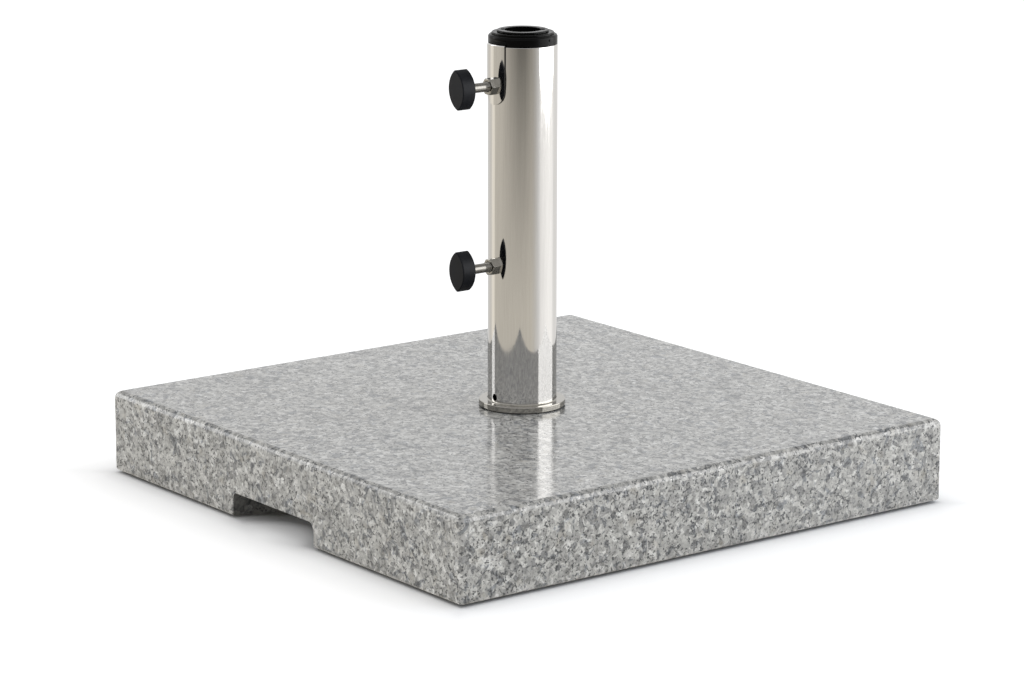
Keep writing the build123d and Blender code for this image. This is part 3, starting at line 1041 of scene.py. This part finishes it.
def reducer_profile(skirt_radius, bore, flange_radius, flange_low_z, flange_top_z, edge):
    """A skirt that hangs in the next bore out, under a flange with a round outer edge."""
    bore_chamfer = 0.3 * MM
    flange_chamfer = 0.2 * MM
    mouth = 0.5 * MM
    profile = [(bore, SKIRT_BOTTOM + bore_chamfer), (bore + bore_chamfer, SKIRT_BOTTOM)]
    profile += [(skirt_radius - SKIRT_CHAMFER, SKIRT_BOTTOM)]
    profile += [(skirt_radius, SKIRT_BOTTOM + 2 * SKIRT_CHAMFER), (skirt_radius, flange_low_z)]
    profile += [(flange_radius - flange_chamfer, flange_low_z)]
    profile += [(flange_radius, flange_low_z + flange_chamfer)]
    profile += arc(flange_radius - edge, flange_top_z - edge, edge, 0, 90, 10)
    profile += arc(bore + mouth, flange_top_z - mouth, mouth, 90, 180, 6)
    return profile


def relief_cutter(inner_radius):
    """The clearance over the saddle's lip, outside the skirt."""
    half = SADDLE_HALF_ANGLE + radians(2.4)
    reach = collar_high.x + 2 * MM
    steps = 24
    turns = [-half + 2 * half * k / steps for k in range(steps + 1)]
    curve = [(inner_radius * sin(turn), -inner_radius * cos(turn)) for turn in turns]
    width = collar_high.x * sin(half)
    points = [(-width, -reach), (-width, curve[0][1])] + curve[1:-1]
    points += [(width, curve[-1][1]), (width, -reach)]
    return prism("cutter", points, TUBE_RIM - 1 * MM, saddle_high.z + 0.4 * MM)


def build_collar():
    skirt = TUBE_BORE - RING_CLEARANCE
    profile = reducer_profile(skirt, COLLAR_BORE, collar_high.x, TUBE_RIM, collar_high.z, 2.2 * MM)
    collar = lathe("collar_moulding", profile, ROUND_RING)
    turn = radians(12)
    spot = Vector((cos(turn), sin(turn), 0)) * collar_high.x
    spot.z = TUBE_RIM + 4.6 * MM
    inward = Matrix.Rotation(turn, 4, "Z") @ Matrix.Rotation(pi / 2, 4, "Y")
    dimple = cutter_cylinder(0.9 * MM, 2.4 * MM, Matrix.Translation(spot) @ inward, around=32)
    cut(collar, [relief_cutter(skirt), dimple])
    weigh_normals(collar)
    dress(collar, RING, "collar", "reducer_collar")


def build_middle_ring():
    profile = reducer_profile(COLLAR_BORE - RING_CLEARANCE, MIDDLE_BORE, middle_high.x,
                              collar_high.z, middle_high.z, 0.8 * MM)
    ring = lathe("middle_ring_moulding", profile, ROUND_RING)
    weigh_normals(ring)
    dress(ring, RING, "middle_ring", "reducer_middle_ring")


def build_inner_ring():
    profile = reducer_profile(MIDDLE_BORE - RING_CLEARANCE, POLE_BORE, inner_high.x,
                              middle_high.z, inner_high.z, 0.8 * MM)
    ring = lathe("inner_ring_moulding", profile, ROUND_RING)
    reach = 18 * MM
    half_width = 3.5 * MM
    corners = [(-reach, -half_width), (reach, -half_width), (reach, half_width), (-reach, half_width)]
    notch = prism("cutter", corners, inner_high.z - 8 * MM, inner_high.z + 2 * MM)
    place(notch, Matrix.Rotation(radians(52), 4, "Z"))
    cut(ring, [notch])
    weigh_normals(ring)
    dress(ring, RING, "inner_ring", "reducer_inner_ring")


build_collar()
build_middle_ring()
build_inner_ring()

# ---------------- camera, lights and floor

CAMERA_AZIMUTH = radians(52.485)
CAMERA_REACH = 3.097
CAMERA_HEIGHT = 0.852
LOOK_AZIMUTH = radians(52.643)
LOOK_DOWN = radians(13.177)
ROLL = radians(0.09)
LENS_MM = 132.73
FLOOR_HALF = 40
FLOOR_GLOW = 0.46

# Brightness against the sine of the height above the horizon
SKY_TONES = ((0.0, 0.60), (0.25, 0.61), (0.50, 0.70), (1.0, 0.81))
MIRRORED_TONES = ((0.0, 1.0), (0.34, 1.0), (0.50, 0.70), (1.0, 0.60))
TWICE_MIRRORED_TONES = ((0.0, 0.10), (0.2465, 0.12), (0.2525, 0.95), (1.0, 0.95))

# Each soft light's bearing, distance, height and size
SIDE_PANEL = (89, 1.94, 0.85, (2.5, 1.7))
THIN_STRIP = (-113, 3.2, 1.6, (0.88, 3.2))


def make_camera():
    data = bpy.data.cameras.new("camera")
    data.lens = LENS_MM
    camera = bpy.data.objects.new("camera", data)
    bpy.context.scene.collection.objects.link(camera)
    spot = Vector((sin(CAMERA_AZIMUTH), -cos(CAMERA_AZIMUTH), 0)) * CAMERA_REACH
    spot.z = CAMERA_HEIGHT
    turn = (
        Matrix.Rotation(LOOK_AZIMUTH, 4, "Z")
        @ Matrix.Rotation(pi / 2 - LOOK_DOWN, 4, "X")
        @ Matrix.Rotation(ROLL, 4, "Z")
    )
    camera.matrix_world = Matrix.Translation(spot) @ turn
    bpy.context.scene.camera = camera


def floor_sheet(name, shader, height):
    """A large level sheet in the shader's material."""
    bm = bmesh.new()
    bmesh.ops.create_grid(bm, x_segments=1, y_segments=1, size=FLOOR_HALF)
    sheet = finish_mesh(name, bm)
    sheet.data.transform(Matrix.Translation((0, 0, height)))
    sheet.data.materials.append(shader.material)
    return sheet


def make_floor():
    """A pale floor with painted light: a glow of its own, left out under the slab and rising away from it,
    which paints soft contact shadows.
    """
    shade_inset = 16 * MM
    shade_share = 0.45
    shader = Shader("floor_pale_painted_glow")
    tone = shader.ramp(shader.noise(scale=3).outputs["Fac"], [(0.3, 0.905), (0.7, 0.915)])
    split = shader.node("ShaderNodeSeparateXYZ")
    shader.put(split.inputs[0], shader.place)
    across = [shader.math("ABSOLUTE", split.outputs[k]) for k in (0, 1)]
    beyond = shader.math("SUBTRACT", shader.math("MAXIMUM", across[0], across[1]), SLAB_HALF)
    for side in (-1, 1):
        from_wheel = shader.node("ShaderNodeVectorMath", operation="DISTANCE")
        shader.put(from_wheel.inputs[0], shader.place)
        from_wheel.inputs[1].default_value = wheel_centre(side)
        into_notch = shader.math("SUBTRACT", NOTCH_RADIUS - shade_inset, from_wheel.outputs["Value"])
        beyond = shader.math("MAXIMUM", beyond, shader.math("MULTIPLY", into_notch, shade_share))
    # Painted light: no glow under the slab, some under the notches fading deeper in, and more away from the
    # slab's edges
    rise = shader.ramp(shader.spread(beyond, -0.05, 0.15, 0.0, 1.0),
                       [(0.235, 0.0), (0.27, 0.40), (0.34, 0.68), (0.50, 0.88), (0.75, 1.0)])
    glow = shader.math("MULTIPLY", rise, FLOOR_GLOW)
    shader.surface(Base_Color=tone, Roughness=0.9, Emission_Color=(1, 1, 1, 1), Emission_Strength=glow)
    floor = floor_sheet("floor", shader, 0)
    floor.visible_glossy = False


def make_reflection_floor():
    """A glowing sheet that only polished metal sees, which paints the floor's reflection: paler near the
    object, darker towards the front.
    """
    shader = Shader("floor_reflection_painted")
    split = shader.node("ShaderNodeSeparateXYZ")
    shader.put(split.inputs[0], shader.place)
    squares = [shader.math("POWER", split.outputs[k], 2.0) for k in (0, 1)]
    away = shader.math("POWER", shader.math("ADD", squares[0], squares[1]), 0.5)
    bearing = shader.math("ARCTAN2", split.outputs[0], shader.math("MULTIPLY", split.outputs[1], -1.0))
    turned = shader.math("SUBTRACT", bearing, CAMERA_AZIMUTH)
    wrapped = shader.math("WRAP", turned, pi)
    wrapped.node.inputs[2].default_value = -pi
    around = shader.spread(wrapped, -pi, pi, 0.0, 1.0)

    def at(degrees):
        return 0.5 + degrees / 360

    sectors = shader.ramp(around, [
        (at(-179), 0.40), (at(-124), 0.38), (at(-120), 0.50), (at(-107), 0.50), (at(-101), 0.33),
        (at(-60), 0.315), (at(0), 0.32), (at(40), 0.34), (at(55), 0.43), (at(64), 0.56), (at(95), 0.66),
        (at(114), 0.64), (at(124), 0.50), (at(140), 0.46), (at(179), 0.42),
    ])
    front = shader.ramp(around, [
        (at(-75), 0.0), (at(-42), 0.55), (at(-12), 1.0), (at(8), 1.0), (at(38), 0.5), (at(60), 0.0),
    ])
    fading = shader.ramp(shader.spread(away, 0.0, 4.0, 0.0, 1.0), [
        (0.18, 0.0), (0.245, 0.10), (0.33, 0.27), (0.48, 0.47), (0.615, 0.68), (0.80, 0.84), (1.0, 0.92),
    ])
    dimming = shader.math("SUBTRACT", 1.0, shader.math("MULTIPLY", front, fading))
    brightness = shader.math("MULTIPLY", shader.math("MULTIPLY", sectors, dimming), 2.0)
    glow = shader.node("ShaderNodeEmission")
    warm = (1.06, 1.0, 0.885)
    neutral = (1.01, 1.0, 0.985)
    hue = shader.ramp(around, [(at(-150), neutral), (at(-110), warm), (at(30), warm), (at(52), neutral)])
    shader.put(glow.inputs["Color"], hue)
    shader.put(glow.inputs["Strength"], brightness)
    shader.tree.links.new(glow.outputs[0], shader.tree.nodes["Material Output"].inputs["Surface"])
    card = floor_sheet("reflection_floor", shader, -0.5 * MM)
    for ray in ("camera", "diffuse", "transmission", "volume_scatter", "shadow"):
        setattr(card, f"visible_{ray}", False)


def make_world():
    """A pale sweep, with its own tones for matt surfaces, for mirrors and for a mirror's mirror image."""
    world = bpy.data.worlds.new("studio")
    sky = NodeTree(world)
    split = sky.node("ShaderNodeSeparateXYZ")
    sky.put(split.inputs[0], sky.node("ShaderNodeTexCoord").outputs["Generated"])
    up = split.outputs["Z"]
    path = sky.node("ShaderNodeLightPath").outputs
    twice = sky.math("GREATER_THAN", path["Glossy Depth"], 1.5)
    glossy = sky.mix(twice, sky.ramp(up, MIRRORED_TONES), sky.ramp(up, TWICE_MIRRORED_TONES))
    indirect = sky.mix(path["Is Glossy Ray"], sky.ramp(up, SKY_TONES), glossy)
    seen = sky.mix(path["Is Camera Ray"], indirect, (1.0, 1.0, 1.0))
    sky.put(sky.tree.nodes["Background"].inputs["Color"], seen)
    bpy.context.scene.world = world


def softbox(name, bearing, distance, height, size, radiance):
    """A level rectangular soft light; its bearing is from the camera's own, positive to the right."""
    data = bpy.data.lights.new(name, "AREA")
    data.shape = "RECTANGLE"
    data.size, data.size_y = size
    data.energy = radiance * pi * size[0] * size[1]
    light = bpy.data.objects.new(name, data)
    bpy.context.scene.collection.objects.link(light)
    azimuth = CAMERA_AZIMUTH + radians(bearing)
    spot = Vector((sin(azimuth), -cos(azimuth), 0)) * distance + Vector((0, 0, height))
    aim = Vector((0, 0, height))
    light.location = spot
    light.rotation_euler = (aim - spot).to_track_quat("-Z", "Y").to_euler()
    light.visible_camera = False
    return light


def make_lights():
    """Two panels that only mirrors see, and a cool side light that only matt surfaces see."""
    softbox("side_panel_in_reflections", *SIDE_PANEL, radiance=2.9).visible_diffuse = False
    softbox("thin_strip_in_reflections", *THIN_STRIP, radiance=2.4).visible_diffuse = False
    side_light = softbox("side_light", *SIDE_PANEL, radiance=1.0)
    side_light.visible_glossy = False
    side_light.data.color = (0.82, 0.98, 1.20)


make_camera()
make_floor()
make_reflection_floor()
make_world()
make_lights()
bpy.context.scene.view_settings.view_transform = "Standard"
